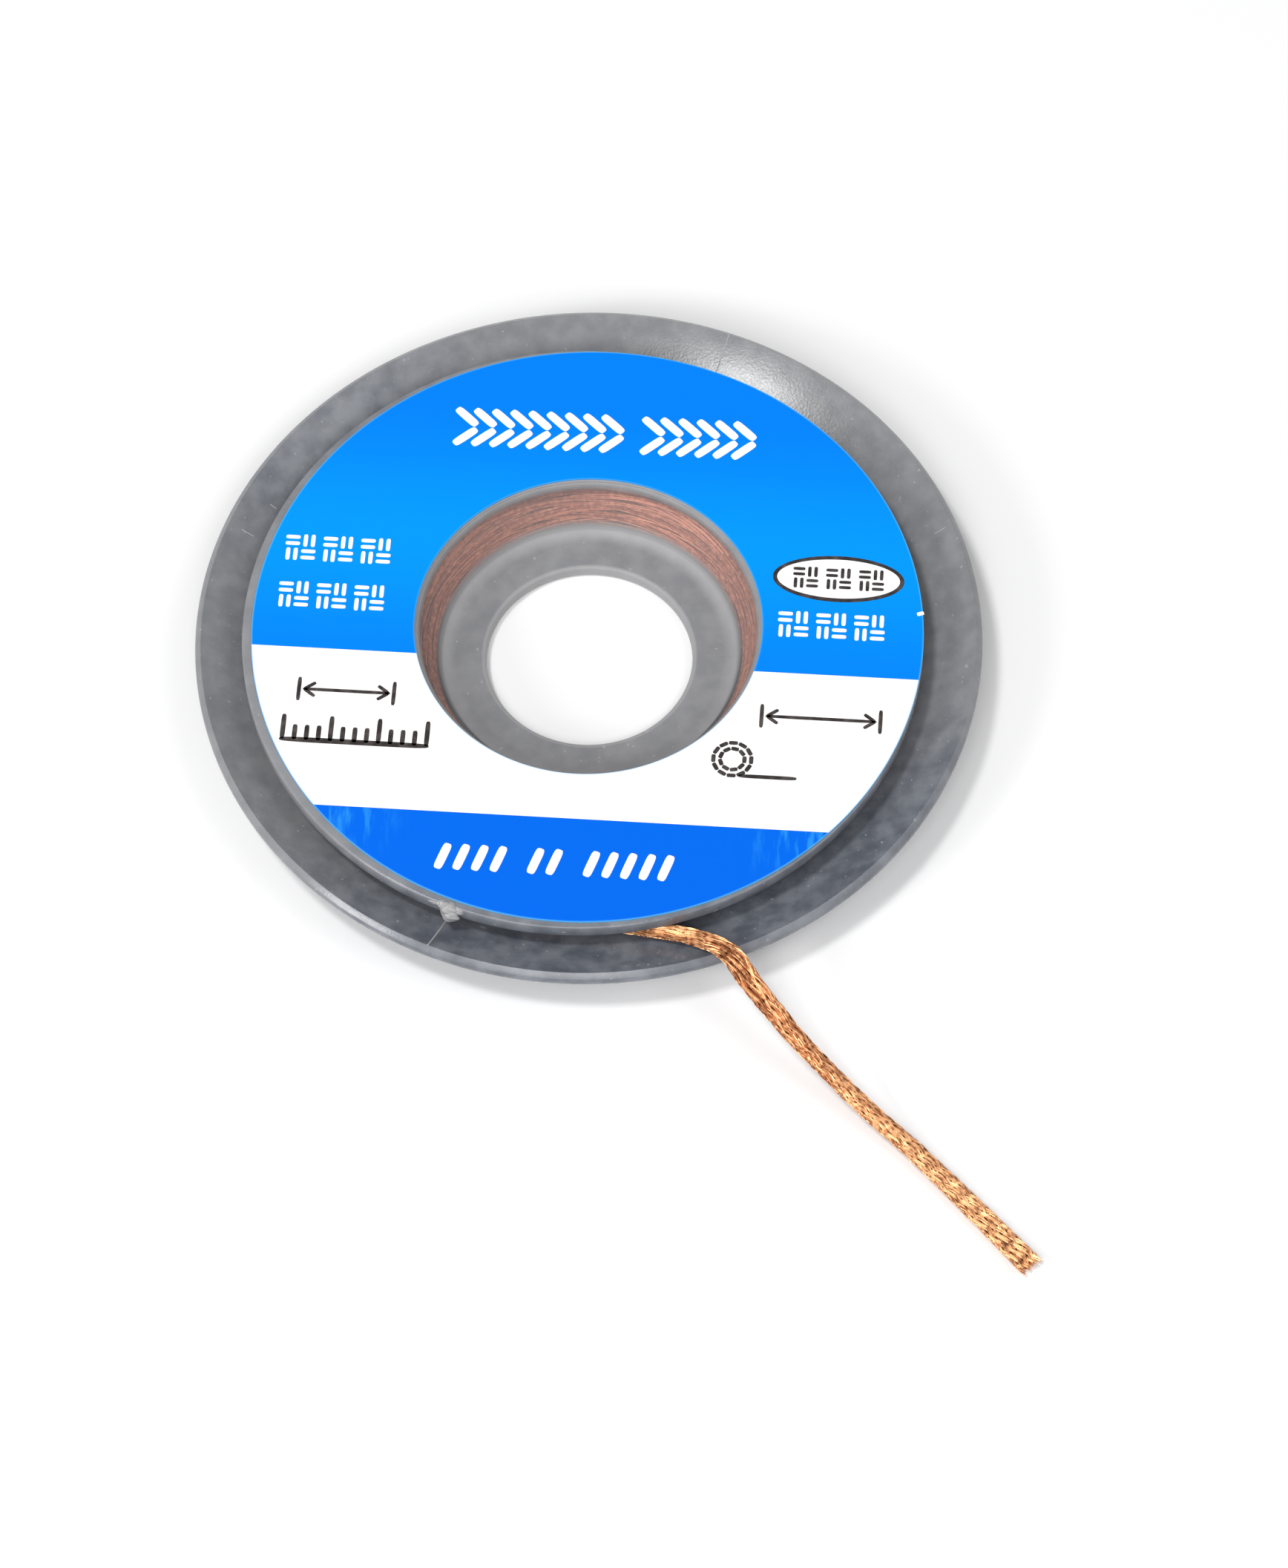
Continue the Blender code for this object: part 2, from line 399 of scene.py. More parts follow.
@dataclass(frozen=True)
class Ink(Finish):
    """Flat printed ink of one colour, with a faint uneven cover."""

    name: str
    colour: tuple[float, ...]
    faded: tuple[float, ...]
    roughness: float = 0.45
    gloss: float = 0.07

    def build(self) -> bpy.types.Material:
        """Build the ink's material.

        Returns:
            The material.
        """
        graph = Graph(self.name)
        cover = graph.span(graph.noise(graph.place(), 1400.0), 0.35, 0.75)
        shader = graph.node(
            "BsdfPrincipled",
            Base_Color=graph.mix(cover, self.colour, self.faded),
            Roughness=self.roughness,
            Specular_IOR_Level=self.gloss,
        )
        return graph.close(shader)


@dataclass(frozen=True)
class BareCopper(Finish):
    """Fine bright copper wire.

    The mesh attribute "tone" runs from 0, dull and brown, to 1, bright. It holds the wires'
    own tone and some painted shade where wires sink under others.
    """

    name: str
    dull: tuple[float, ...] = rgba(0.33, 0.105, 0.037)
    bright: tuple[float, ...] = rgba(0.97, 0.53, 0.26)
    roughness: float = 0.26
    rough_share: float = 0.25
    metallic: float = 0.8
    speckle_scale: float = 3000.0
    speckle_share: float = 2.0

    def build(self) -> bpy.types.Material:
        """Build the copper's material.

        Returns:
            The material.
        """
        graph = Graph(self.name)
        speckle = graph.noise(graph.place(), self.speckle_scale, 2.0)
        uneven = graph.linear(speckle, self.speckle_share, -0.5 * self.speckle_share)
        tone = graph.math("ADD", graph.attribute("tone"), uneven)
        shader = graph.node(
            "BsdfPrincipled",
            Base_Color=graph.mix(graph.span(tone, 0.0, 1.0), self.dull, self.bright),
            Metallic=self.metallic,
            Roughness=graph.linear(speckle, self.rough_share, self.roughness),
        )
        return graph.close(shader)


@dataclass(frozen=True)
class PaleFloor(Finish):
    """A plain pale floor with a trace of unevenness."""

    name: str = "pale_floor"
    shaded: tuple[float, ...] = rgba(0.88, 0.88, 0.885)
    pale: tuple[float, ...] = rgba(0.91, 0.91, 0.91)
    roughness: float = 0.85

    def build(self) -> bpy.types.Material:
        """Build the floor's material.

        Returns:
            The material.
        """
        graph = Graph(self.name)
        tint = graph.noise(graph.place(), 6.0, 2.0)
        shader = graph.node(
            "BsdfPrincipled",
            Base_Color=graph.mix(tint, self.shaded, self.pale),
            Roughness=self.roughness,
        )
        return graph.close(shader)


# Shapes


def grid_faces(rows: int, columns: int, wrap_rows: bool, wrap_columns: bool) -> Array:
    """Return the quads of a grid of points numbered row by row.

    Args:
        rows: Number of rows.
        columns: Number of points in each row.
        wrap_rows: Whether the last row joins the first.
        wrap_columns: Whether each row's last point joins its first.

    Returns:
        Four point numbers for each quad.
    """
    i = np.arange(rows if wrap_rows else rows - 1)[:, None]
    j = np.arange(columns if wrap_columns else columns - 1)[None, :]
    below = (i + 1) % rows
    beside = (j + 1) % columns
    quads = np.stack(
        [i * columns + j, i * columns + beside, below * columns + beside, below * columns + j], -1
    )
    return quads.reshape(-1, 4)


@dataclass
class Surface:
    """Points and faces of one mesh, with named values for each point."""

    points: Array
    faces: list[Array]
    values: dict[str, Array] = field(default_factory=dict)

    def joined(self, other: "Surface") -> "Surface":
        """Join another surface to this one.

        Args:
            other: A surface with the same named values.

        Returns:
            Both as one surface.
        """
        shift = len(self.points)
        values = {
            key: np.concatenate([self.values[key], other.values[key]]) for key in self.values
        }
        faces = self.faces + [part + shift for part in other.faces]
        return Surface(np.concatenate([self.points, other.points]), faces, values)

    def volume(self) -> float:
        """Work out the signed volume, from a fan of triangles on each face.

        Returns:
            The volume, which is below zero where the faces look inwards.
        """
        total = 0.0
        for part in self.faces:
            first = self.points[part[:, 0]]
            for k in range(1, part.shape[1] - 1):
                crossed = np.cross(self.points[part[:, k]], self.points[part[:, k + 1]])
                total += float((first * crossed).sum()) / 6.0
        return total

    def outward(self) -> "Surface":
        """Turn the faces outwards.

        Returns:
            The surface itself.
        """
        if self.volume() < 0.0:
            self.faces = [part[:, ::-1] for part in self.faces]
        return self


def make_piece(
    name: str, surface: Surface, material: bpy.types.Material
) -> bpy.types.Object:
    """Put a surface into a mesh object that rides on the reel.

    Args:
        name: The piece's name.
        surface: Its points, faces and values, in metres.
        material: Its material.

    Returns:
        The new object, at the origin.
    """
    surface = surface.outward()
    loops = np.concatenate([part.ravel() for part in surface.faces])
    sizes = np.concatenate([np.full(len(part), part.shape[1]) for part in surface.faces])
    mesh = bpy.data.meshes.new(name)
    mesh.vertices.add(len(surface.points))
    mesh.vertices.foreach_set("co", surface.points.astype(np.float32).ravel())
    mesh.loops.add(len(loops))
    mesh.loops.foreach_set("vertex_index", loops.astype(np.int32))
    mesh.polygons.add(len(sizes))
    starts = np.concatenate([[0], np.cumsum(sizes)[:-1]])
    mesh.polygons.foreach_set("loop_start", starts.astype(np.int32))
    mesh.update(calc_edges=True)
    mesh.validate()
    for key, value in surface.values.items():
        attribute = mesh.attributes.new(key, "FLOAT", "POINT")
        attribute.data.foreach_set("value", value.astype(np.float32).ravel())
    mesh.materials.append(material)
    mesh.shade_smooth()
    mesh.set_sharp_from_angle(angle=SHARP_EDGE)
    piece = bpy.data.objects.new(name, mesh)
    bpy.context.scene.collection.objects.link(piece)
    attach(piece, "root")
    LOG.info("%s: %d points", name, len(surface.points))
    return piece


def arc(centre: Sequence[float], radius: float, start: float, end: float, count: int) -> Array:
    """Return points of an arc in the section plane.

    The formula is the centre plus the radius times (cos, sin) of an even run of angles.

    Args:
        centre: Its middle as (radius from the axis, height).
        radius: The arc's own radius.
        start: First angle in degrees.
        end: Last angle in degrees.
        count: Number of points.

    Returns:
        One point a row.
    """
    angles = np.radians(np.linspace(start, end, count))
    return np.stack([centre[0] + radius * np.cos(angles), centre[1] + radius * np.sin(angles)], 1)


def straight(start: Sequence[float], end: Sequence[float], count: int) -> Array:
    """Return evenly spaced points from start to end."""
    share = np.linspace(0.0, 1.0, count)[:, None]
    return np.asarray(start) * (1.0 - share) + np.asarray(end) * share


def turned(section: Array, steps: int, values: dict[str, Array]) -> Surface:
    """Return a solid of revolution about Z from a closed section.

    Each section point (r, z) goes to (r cos a, r sin a, z) for an even run of angles a.

    Args:
        section: Closed section, one (radius, height) a row.
        steps: Number of angles in a full turn.
        values: Named values, one for each section point.

    Returns:
        The turned surface.
    """
    angles = np.linspace(0.0, math.tau, steps, endpoint=False)[:, None]
    radius = section[None, :, 0]
    x = radius * np.cos(angles)
    y = radius * np.sin(angles)
    z = np.broadcast_to(section[None, :, 1], x.shape)
    points = np.stack([x, y, z], -1).reshape(-1, 3)
    spread = {key: np.tile(value, steps) for key, value in values.items()}
    return Surface(points, [grid_faces(steps, len(section), True, True)], spread)


def tubes(centres: Array, outward: Array, radius: float, sides: int, tone: Array) -> Surface:
    """Return round wires along many lines at once.

    A point of a wire is its centre plus the radius times (cos b) of the outward direction
    made square to the line, plus (sin b) of the direction square to both.

    Args:
        centres: Wires by points by three coordinates.
        outward: A direction for each centre that isn't along the wire.
        radius: Wire radius.
        sides: Number of points round a wire.
        tone: Brightness for each centre.

    Returns:
        The wires, each closed at both ends.
    """
    along = np.gradient(centres, axis=1)
    along /= np.linalg.norm(along, axis=-1, keepdims=True)
    first = outward - (outward * along).sum(-1, keepdims=True) * along
    first /= np.linalg.norm(first, axis=-1, keepdims=True)
    second = np.cross(along, first)
    turns = np.linspace(0.0, math.tau, sides, endpoint=False)
    ring = (
        first[:, :, None, :] * np.cos(turns)[:, None] + second[:, :, None, :] * np.sin(turns)[:, None]
    )
    points = centres[:, :, None, :] + radius * ring
    wires, length = centres.shape[:2]
    shifts = (np.arange(wires) * length * sides)[:, None, None]
    quads = (grid_faces(length, sides, False, True)[None] + shifts).reshape(-1, 4)
    start = (np.arange(sides)[None, :] + shifts[:, :, 0]).reshape(-1, sides)
    end = start[:, ::-1] + (length - 1) * sides
    shade = np.repeat(tone.ravel(), sides)
    return Surface(points.reshape(-1, 3), [quads, start, end], {"tone": shade})


# Spool


@dataclass
class Stretch:
    """One stretch of the reel's section, and how clear and how pale its points are."""

    points: Array
    clear: float | Array
    pale: float | Array = 0.0

    def spread(self, value: float | Array) -> Array:
        """Return one value for each of the stretch's points."""
        return np.broadcast_to(value, len(self.points))


@dataclass
class Spool:
    """The moulded reel: front flange, hub cup and dished back flange. Sizes in millimetres.

    The cup's wall is clear from the height copper_from to copper_past_roof above the
    channel's roof, with a fade at each end, so that the copper shows through it. The front
    flange is pushed off the axis by front_shift, from the radius push_from outwards.
    """

    finish: Finish = field(default_factory=SmokyPlastic)
    steps: int = 240
    front_radius: float = 23.75
    front_shift: tuple[float, float] = (-0.4, -0.46)
    front_thickness: float = 1.1
    flat_radius: float = 16.5
    plate_thickness: float = 1.2
    rim_top: float = 4.0
    rim_thickness: float = 1.05
    chamfer_width: float = 0.4
    chamfer_height: float = 0.35
    edge_radius: float = 0.16
    mouth_radius: float = 12.0
    mouth_edge: float = 0.15
    foot_radius: float = 10.4
    floor_radius: float = 9.45
    floor_thickness: float = 1.0
    fillet_height: float = 0.45
    hub_wall: float = 0.22
    hole_radius: float = 7.25
    hole_edge: float = 0.22
    wound_radius: float = 18.6
    wall_clear: float = 0.62
    wall_pale: float = 0.8
    copper_from: float = 1.45
    copper_fade: float = 0.7
    copper_past_roof: float = 0.75
    copper_top_fade: float = 0.35
    roof_clear_reach: float = 1.0
    under_clear: float = 0.4
    push_from: float = 14.0
    push_over: float = 6.0
    gate_angle: float = -113.3

    def __post_init__(self) -> None:
        """Take the outer radius and the height from the frame."""
        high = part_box("spool")[1]
        self.back_radius = high.x / MM
        self.height = high.z / MM
        self.roof = self.height - self.front_thickness
        run = self.back_radius - self.chamfer_width - self.flat_radius
        rise = self.rim_top - self.plate_thickness
        self.bend = (run * run + rise * rise) / (2.0 * rise)

    def dish_height(self, radius: Array) -> Array:
        """Return the inner face's height: flat, then an arc that lifts it to the rim."""
        run = np.maximum(0.0, radius - self.flat_radius)
        return self.plate_thickness + self.bend - np.sqrt(self.bend**2 - run**2)

    def cup_radius(self, height: Array) -> Array:
        """Work out the cup's radius, which tapers evenly from the mouth to the foot.

        Args:
            height: Heights above the bench.

        Returns:
            The radius at each height.
        """
        foot = self.floor_thickness + self.fillet_height
        share = (height - foot) / (self.height - foot)
        return self.foot_radius + share * (self.mouth_radius - self.foot_radius)

    def hub_radius(self, height: Array) -> Array:
        """Return the radius that the braid is wound on."""
        return self.cup_radius(height) + self.hub_wall

    def section(self) -> tuple[Array, dict[str, Array]]:
        """Join the stretches of the closed section. The cup is matt.

        Returns:
            The points in metres as (radius, height), and how clear, pale and matt each is.
        """
        stretches = self._front() + self._channel() + self._back() + self._cup()
        points = np.concatenate([stretch.points for stretch in stretches])
        clear = np.concatenate([stretch.spread(stretch.clear) for stretch in stretches])
        pale = np.concatenate([stretch.spread(stretch.pale) for stretch in stretches])
        matt = np.where(points[:, 0] < self.mouth_radius + self.mouth_edge, 1.0, 0.0)
        return points * MM, {"clear": clear, "pale": pale, "matt": matt}

    def _front(self) -> list[Stretch]:
        """Shape the front flange, from the hub's mouth outwards.

        Returns:
            The mouth's lip, the flange's top and its rounded edge.
        """
        lip = self.mouth_edge
        mouth = self.mouth_radius
        edge = self.edge_radius
        rim = self.front_radius - edge
        top = self.height
        return [
            # The pale values paint light: they lighten the mouth's lip, the flange's top margin and the
            # upper part of its rounded edge.
            Stretch(arc((mouth + lip, top - lip), lip, 180.0, 90.0, 5), 0.1, 0.45),
            Stretch(straight((mouth + 0.5, top), (rim - 0.3, top), 8), 0.1, 0.25),
            Stretch(arc((rim, top - edge), edge, 90.0, 20.0, 5), 0.0, 0.12),
            Stretch(arc((rim, self.roof + edge), edge, 0.0, -90.0, 6), 0.0),
        ]

    def _channel(self) -> list[Stretch]:
        """Shape the channel. Its roof is clear near the hub, where the copper shows.

        Returns:
            The channel's roof, the hub's outer wall and the channel's floor.
        """
        floor = self.plate_thickness
        heights = np.linspace(self.roof, floor, 16)
        wall = np.stack([self.hub_radius(heights), heights], 1)
        roof_end = self.hub_radius(self.roof)
        floor_start = self.hub_radius(floor)
        roof = straight((self.front_radius - 0.6, self.roof), (roof_end + 0.3, self.roof), 24)
        roof_clear = np.where(roof[:, 0] < roof_end + self.roof_clear_reach, 1.0, 0.2)
        return [
            Stretch(roof, roof_clear),
            Stretch(wall, 1.0),
            Stretch(straight((floor_start + 0.3, floor), (self.flat_radius - 0.3, floor), 6), 0.8),
        ]

    def _back(self) -> list[Stretch]:
        """Shape the back flange.

        The dish and the underside are arcs that bend up from the flat. Both are clearer where
        the copper lies over them.

        Returns:
            The dish, its chamfered rim, the underside and the flat that the reel stands on.
        """
        outer = self.back_radius
        chamfer = outer - self.chamfer_width
        radii = np.linspace(self.flat_radius, chamfer, 36)
        dish = np.stack([radii, self.dish_height(radii)], 1)
        low = self.rim_top - self.rim_thickness
        shoulder = self.rim_top - self.chamfer_height
        rim = np.array(
            [
                (chamfer + 0.03, self.rim_top - 0.02),
                (outer - 0.06, shoulder + 0.06),
                (outer - 0.02, shoulder + 0.02),
                (outer, shoulder - 0.03),
                (outer, shoulder - 0.28),
                (outer - 0.05, shoulder - 0.32),
                (outer - 0.05, low + 0.18),
                (outer - 0.09, low + 0.06),
            ]
        )
        bend = ((outer - self.flat_radius) ** 2 + low**2) / (2.0 * low)
        run = np.linspace(outer - 0.15 - self.flat_radius, 0.0, 36)
        under = np.stack([self.flat_radius + run, bend - np.sqrt(bend**2 - run**2)], 1)
        hole = self.hole_radius + self.hole_edge
        foot = straight((self.flat_radius - 0.3, 0.0), (hole + 0.1, 0.0), 16)
        under_lit = np.clip(self.wound_radius + 0.9 - under[:, 0], 0.0, 1.0)
        foot_lit = np.clip(foot[:, 0] - self.foot_radius, 0.0, 1.0)
        return [
            Stretch(dish, np.where(radii < self.wound_radius, 0.8, 0.06)),
            # The chamfer's pale values are painted light: a lighter band along the rim's edge.
            Stretch(rim, 0.04, np.array([0.18, 0.18, 0.15, 0.05, 0.0, 0.0, 0.0, 0.0])),
            Stretch(under, 0.06 + self.under_clear * under_lit),
            Stretch(foot, 0.06 + self.under_clear * foot_lit),
        ]

    def _cup(self) -> list[Stretch]:
        """Shape the hub cup from the hole upwards.

        The fillet is a quarter of an ellipse. The wall is clear where the copper is behind it
        and fades to milky plastic below and above. The fillet and the lower wall are also painted
        pale, as painted light that lifts the shade in the cup's foot.

        Returns:
            The hole's rounded wall, the cup's floor, its fillet and its tapered wall.
        """
        edge = self.hole_edge
        hole = self.hole_radius + edge
        top = self.floor_thickness
        angles = np.radians(np.linspace(0.0, 90.0, 9))
        reach = self.foot_radius - self.floor_radius
        rise = self.fillet_height * (1.0 - np.cos(angles))
        fillet = np.stack([self.floor_radius + reach * np.sin(angles), top + rise], 1)
        lowest = top + self.fillet_height + 0.05
        heights = np.linspace(lowest, self.height - self.mouth_edge - 0.05, 30)
        wall = np.stack([self.cup_radius(heights), heights], 1)
        window = np.clip((heights - self.copper_from) / self.copper_fade, 0.0, 1.0)
        head = self.roof + self.copper_past_roof
        window = window * np.clip((head - heights) / self.copper_top_fade, 0.0, 1.0)
        mouth = np.clip((heights - self.roof) / 0.5, 0.0, 1.0)
        clear = 0.05 + (self.wall_clear - 0.05) * window
        return [
            Stretch(arc((hole, edge), edge, -90.0, -180.0, 5), 0.05, 0.6),
            Stretch(arc((hole, top - edge), edge, 180.0, 90.0, 6), 0.05, 0.55),
            Stretch(straight((hole + 0.15, top), (self.floor_radius - 0.1, top), 6), 0.05, 0.1),
            # Painted light: the fillet grows paler upwards and the wall is paler below the copper,
            # lifting the shade in the cup's foot.
            Stretch(fillet, 0.02, np.linspace(0.1, self.wall_pale, len(fillet))),
            Stretch(wall, clear, self.wall_pale - 0.15 * window - 0.5 * mouth),
        ]

    def build(self) -> None:
        """Build the reel with its gate mark, its parting lines and its scratches."""
        section, values = self.section()
        body = turned(section, self.steps, values)
        self._push_front_flange(body)
        spool = make_piece("spool_body", body, self.finish.material())
        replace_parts(spool, "spool")
        self._gate_mark()
        outer = self.back_radius - self.chamfer_width
        self._ridge("parting_line_front", -114.6, (24.0, outer), 0.055)
        self._ridge("parting_line_back", 67.2, (23.8, outer + 0.1), 0.04)
        self._ridge("scratch_left", 158.5, (25.3, 26.2), 0.03)
        self._ridge("scratch_upper_left", 152.0, (24.9, 25.4), 0.03)
        self._ridge("scratch_right", 18.0, (25.8, 26.6), 0.025)

    def _push_front_flange(self, body: Surface) -> None:
        """Push the front flange a little off the axis, as it came out of its mould.

        The hub's mouth stays, and from there the push grows evenly to its full size.

        Args:
            body: The turned reel, whose points are moved.
        """
        radius = np.hypot(body.points[:, 0], body.points[:, 1]) / MM
        share = np.clip((radius - self.push_from) / self.push_over, 0.0, 1.0)
        front = (body.points[:, 2] > (self.roof - 0.01) * MM) & (radius < self.front_radius + 0.1)
        push = np.asarray(self.front_shift) * MM
        body.points[:, :2] += np.where(front, share, 0.0)[:, None] * push

    def _lump(self, place: Sequence[float], sizes: Sequence[float], seed: int) -> Surface:
        """Return a lumpy ellipsoid on the front flange's edge.

        Its radius swells and dips by a tenth with sines of both angles.

        Args:
            place: Its middle along the edge, out from the edge and up from the top.
            sizes: Its half sizes along the edge, outwards and upwards.
            seed: A number that shifts its swellings.

        Returns:
            The ellipsoid in metres.
        """
        rows = 21
        columns = 40
        turn = math.radians(self.gate_angle)
        around = np.linspace(0.0, math.tau, columns, endpoint=False)[None, :]
        down = np.linspace(0.04, math.pi - 0.04, rows)[:, None]
        swell = 1.0 + 0.1 * np.sin(4.0 * around + seed) * np.sin(down) ** 2
        swell = swell + 0.08 * np.sin(7.0 * down + 3.0 * around + 2.0 * seed) * np.sin(down)
        along = place[0] + sizes[0] * swell * np.sin(down) * np.cos(around)
        out = self.front_radius + place[1] + sizes[1] * swell * np.sin(down) * np.sin(around)
        up = self.height + place[2] + sizes[2] * swell * np.cos(down)
        x = out * math.cos(turn) - along * math.sin(turn) + self.front_shift[0]
        y = out * math.sin(turn) + along * math.cos(turn) + self.front_shift[1]
        points = np.stack([x, y, up], -1).reshape(-1, 3) * MM
        top = np.arange(columns)[None, :]
        bottom = top[:, ::-1] + (rows - 1) * columns
        values = {"clear": np.full(len(points), 0.1), "pale": np.full(len(points), 0.85)}
        return Surface(points, [grid_faces(rows, columns, False, True), top, bottom], values).outward()

    def _gate_mark(self) -> None:
        """Build the torn lumps left where the plastic was fed in, on the front flange's edge."""
        lumps = (
            ((-0.02, -0.05, -0.32), (0.7, 0.48, 0.5)),
            ((0.12, 0.16, -0.72), (0.64, 0.46, 0.56)),
            ((-0.55, -0.12, -0.14), (0.42, 0.3, 0.26)),
            ((0.62, -0.1, -0.26), (0.5, 0.26, 0.3)),
            ((-1.05, -0.1, -0.22), (0.5, 0.14, 0.16)),
        )
        surface = self._lump(*lumps[0], 0)
        for seed, (place, sizes) in enumerate(lumps[1:], 1):
            surface = surface.joined(self._lump(place, sizes, seed))
        make_piece("gate_mark", surface, self.finish.material())

    def _ridge(self, name: str, angle: float, reach: tuple[float, float], radius: float) -> None:
        """Build a fine pale ridge or scratch across the dish.

        It is a round wire that follows the dish's height along one radius.

        Args:
            name: The piece's name.
            angle: Its direction from the axis in degrees.
            reach: Its inner and its outer radius.
            radius: The wire's own radius.
        """
        turn = math.radians(angle)
        radii = np.linspace(*reach, 40)
        heights = self.dish_height(np.minimum(radii, self.back_radius - self.chamfer_width))
        x = radii * math.cos(turn)
        y = radii * math.sin(turn)
        centres = np.stack([x, y, heights], -1)[None] * MM
        outward = np.broadcast_to(np.array([0.0, 0.0, 1.0]), centres.shape)
        surface = tubes(centres, outward, radius * MM, 8, np.zeros(centres.shape[:2]))
        count = len(surface.points)
        surface.values = {"clear": np.zeros(count), "pale": np.ones(count)}
        make_piece(name, surface, self.finish.material())


# Label


def rounded(wave: Array, power: float) -> Array:
    """Return a wave raised to a power with its sign kept, as a superellipse has it."""
    return np.sign(wave) * np.abs(wave) ** power


def bar(
    centre: Sequence[float],
    length: float,
    width: float,
    angle: float = 0.0,
    squareness: float = 0.45,
) -> Array:
    """Draw a rounded bar.

    It is a superellipse: half the length and width times the cosine and sine of an even
    run of angles, each raised to the squareness with its sign kept, then turned.

    Args:
        centre: The bar's middle.
        length: Its length.
        width: Its width.
        angle: Its direction in degrees.
        squareness: The power, where 1 is an ellipse and 0 a rectangle.

    Returns:
        Its outline.
    """
    turns = np.linspace(0.0, math.tau, 24, endpoint=False)
    x = 0.5 * length * rounded(np.cos(turns), squareness)
    y = 0.5 * width * rounded(np.sin(turns), squareness)
    tilt = math.radians(angle)
    across = centre[0] + x * math.cos(tilt) - y * math.sin(tilt)
    up = centre[1] + x * math.sin(tilt) + y * math.cos(tilt)
    return np.stack([across, up], 1)


def chevrons(start: float, height: float, count: int, pitch: float, size: float) -> list[Array]:
    """Draw a plait of slanted bars in two rows, which point to the right.

    Args:
        start: Where the first pair lies across.
        height: The plait's middle height.
        count: Number of pairs.
        pitch: Distance between pairs.
        size: Height of the plait.

    Returns:
        The bars' outlines.
    """
    marks = []
    for i in range(count):
        x = start + i * pitch
        marks.append(bar((x, height + 0.27 * size), 0.66 * size, 0.2 * size, -42.0))
        marks.append(bar((x, height - 0.27 * size), 0.66 * size, 0.2 * size, 42.0))
    return marks


def weave_tile(centre: Sequence[float], size: float) -> list[Array]:
    """Draw a basket-weave tile: four pairs of bars, upright and level by turns.

    Args:
        centre: The tile's middle.
        size: Its width and height.

    Returns:
        The bars' outlines.
    """
    marks = []
    for i, (across, up) in enumerate(((-1, 1), (1, 1), (1, -1), (-1, -1))):
        middle = (centre[0] + 0.25 * size * across, centre[1] + 0.25 * size * up)
        level = i % 2 == 0
        for side in (-1, 1):
            step = 0.115 * size * side
            spot = (middle[0], middle[1] + step) if level else (middle[0] + step, middle[1])
            marks.append(bar(spot, 0.44 * size, 0.13 * size, 0.0 if level else 90.0))
    return marks


def tile_row(centre: Sequence[float], pitch: float, size: float) -> list[Array]:
    """Draw three weave tiles in a row.

    Args:
        centre: The middle tile's middle.
        pitch: Distance between tiles.
        size: Width and height of a tile.

    Returns:
        The bars' outlines.
    """
    return [
        mark
        for i in (-1, 0, 1)
        for mark in weave_tile((centre[0] + i * pitch, centre[1]), size)
    ]


def span_arrow(centre: Sequence[float], length: float, height: float) -> list[Array]:
    """Draw a size arrow: a line with a head at each end, between two upright ticks.

    Args:
        centre: The line's middle.
        length: Distance between the ticks.
        height: Length of a tick.

    Returns:
        The bars' outlines.
    """
    half = 0.5 * length
    marks = [bar(centre, length - 0.5, 0.26)]
    for side in (-1, 1):
        marks.append(bar((centre[0] + side * half, centre[1]), height, 0.28, 90.0))
        tip = centre[0] + side * (half - 0.75)
        marks.append(bar((tip, centre[1] + 0.28), 0.95, 0.26, -side * 36.0))
        marks.append(bar((tip, centre[1] - 0.28), 0.95, 0.26, side * 36.0))
    return marks


def scale_ticks(centre: Sequence[float], length: float, count: int) -> list[Array]:
    """Draw a bold base line with long and short ticks that stand on it.

    Args:
        centre: The scale's middle.
        length: Length of the base line.
        count: Number of ticks.

    Returns:
        The bars' outlines.
    """
    marks = [bar((centre[0], centre[1] - 1.0), length, 0.42)]
    for i in range(count):
        x = centre[0] + length * (i / (count - 1) - 0.5) * 0.96
        tall = 2.0 if i % 4 == 0 else 1.2
        marks.append(bar((x, centre[1] - 1.0 + 0.5 * tall), tall, 0.34, 90.0))
    return marks


def coil(centre: Sequence[float], size: float, turns: int) -> list[Array]:
    """Draw nested broken rings of short bars, with a straight end: a wound coil.

    Args:
        centre: The rings' middle.
        size: The outer ring's diameter.
        turns: Number of rings.

    Returns:
        The bars' outlines.
    """
    marks = []
    for ring in range(turns):
        radius = 0.5 * size * (1.0 - 0.36 * ring)
        count = 12 - 3 * ring
        length = 0.92 * math.tau * radius / count
        for i in range(count):
            angle = math.tau * i / count
            spot = (centre[0] + radius * math.cos(angle), centre[1] + radius * math.sin(angle))
            marks.append(bar(spot, length, 0.3, math.degrees(angle) + 90.0))
    tail = (centre[0] + 0.5 * size + 1.2, centre[1] - 0.5 * size)
    marks.append(bar(tail, size + 1.4, 0.3))
    return marks


